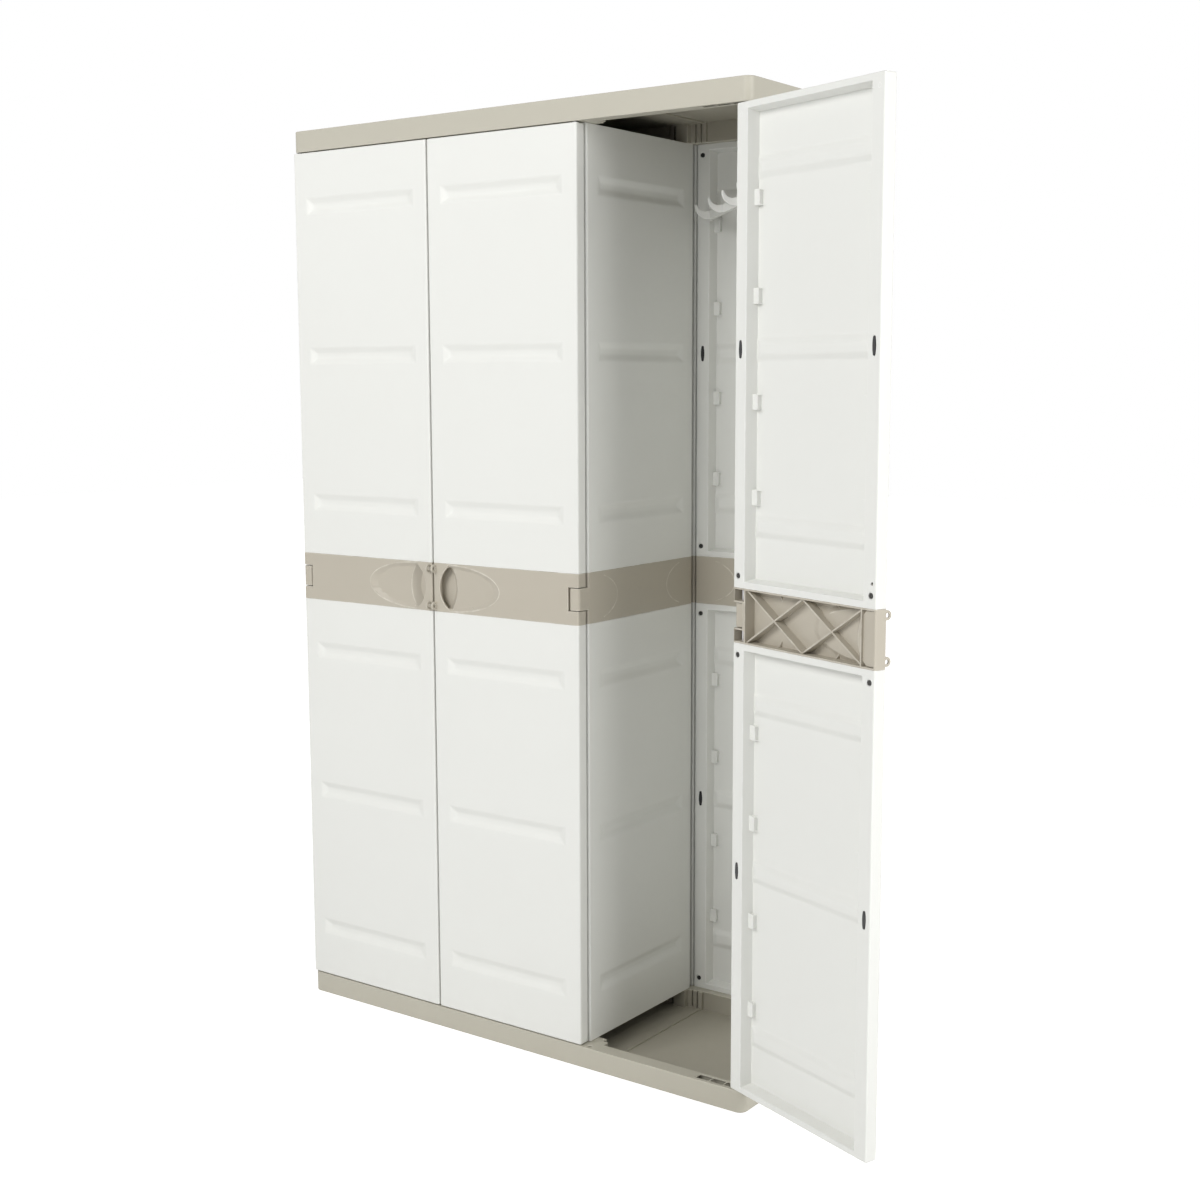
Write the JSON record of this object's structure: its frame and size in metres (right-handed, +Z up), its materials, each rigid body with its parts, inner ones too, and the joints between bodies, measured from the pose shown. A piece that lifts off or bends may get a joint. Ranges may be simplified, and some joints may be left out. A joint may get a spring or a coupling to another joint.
{
  "type": "garden storage cabinet",
  "caption": "Tall moulded-plastic garden cabinet with hinged doors in a row: a wide shelved compartment and a tall, narrow one with a hook rail.",
  "frame": {"origin": "centre of the footprint of the base tray, on the floor", "axes": "+Z up, -Y towards the doors, +X to the right seen from the front"},
  "size_m": [1.3578, 0.5296, 1.76],
  "materials": {
    "panels": "fine moulded grain, off-white",
    "bands": "fine moulded grain, warm beige grey",
    "trays": "fine moulded grain, warm beige grey",
    "shelves": "fine moulded grain, warm beige grey",
    "fittings": "smooth moulded, light grey",
    "joining_keys": "smooth moulded, black",
    "screws": "zinc-plated, dull",
    "hinge_pins": "bright drawn steel"
  },
  "bodies": {
    "cabinet": {"back_left_band": "bands", "back_left_lower_panel": "panels", "back_left_upper_panel": "panels", "back_middle_band": "bands", "back_middle_lower_panel": "panels", "back_middle_upper_panel": "panels", "back_right_band": "bands", "back_right_lower_panel": "panels", "back_right_upper_panel": "panels", "base_tray": "trays", "cap_tray": "trays", "hook_rail": "fittings", "left_wall_band": "bands", "left_wall_lower_panel": "panels", "left_wall_upper_panel": "panels", "partition_band": "bands", "partition_lower_panel": "panels", "partition_upper_panel": "panels", "right_wall_band": "bands", "right_wall_lower_panel": "panels", "right_wall_upper_panel": "panels", "shelf_1": "shelves", "shelf_1_pegs": "fittings", "shelf_2": "shelves", "shelf_2_pegs": "fittings", "shelf_3": "shelves", "shelf_3_pegs": "fittings", "shelf_4": "shelves", "shelf_4_pegs": "fittings", "wall_keys": "joining_keys", "wall_screws": "screws"},
    "left_door": {"left_door_band": "bands", "left_door_band_pin": "hinge_pins", "left_door_keys": "joining_keys", "left_door_lower_panel": "panels", "left_door_pivot_pins": "hinge_pins", "left_door_screws": "screws", "left_door_upper_panel": "panels"},
    "middle_door": {"middle_door_band": "bands", "middle_door_band_pin": "hinge_pins", "middle_door_keys": "joining_keys", "middle_door_lower_panel": "panels", "middle_door_pivot_pins": "hinge_pins", "middle_door_screws": "screws", "middle_door_upper_panel": "panels"},
    "right_door": {"right_door_band": "bands", "right_door_band_pin": "hinge_pins", "right_door_keys": "joining_keys", "right_door_lower_panel": "panels", "right_door_pivot_pins": "hinge_pins", "right_door_screws": "screws", "right_door_upper_panel": "panels"}
  },
  "joints": [
    {"name": "left_door_hinge", "type": "hinge", "parent": "cabinet", "child": "left_door", "pos_m": [-0.513, -0.19475, 0.88], "axis": [0, 0, -1], "range_deg": [0, 170]},
    {"name": "middle_door_hinge", "type": "hinge", "parent": "cabinet", "child": "middle_door", "pos_m": [0.163, -0.19475, 0.88], "axis": [0, 0, 1], "range_deg": [0, 104]},
    {"name": "right_door_hinge", "type": "hinge", "parent": "cabinet", "child": "right_door", "pos_m": [0.513, -0.19475, 0.88], "axis": [0, 0, 1], "range_deg": [-159.5, 10.5]}
  ]
}
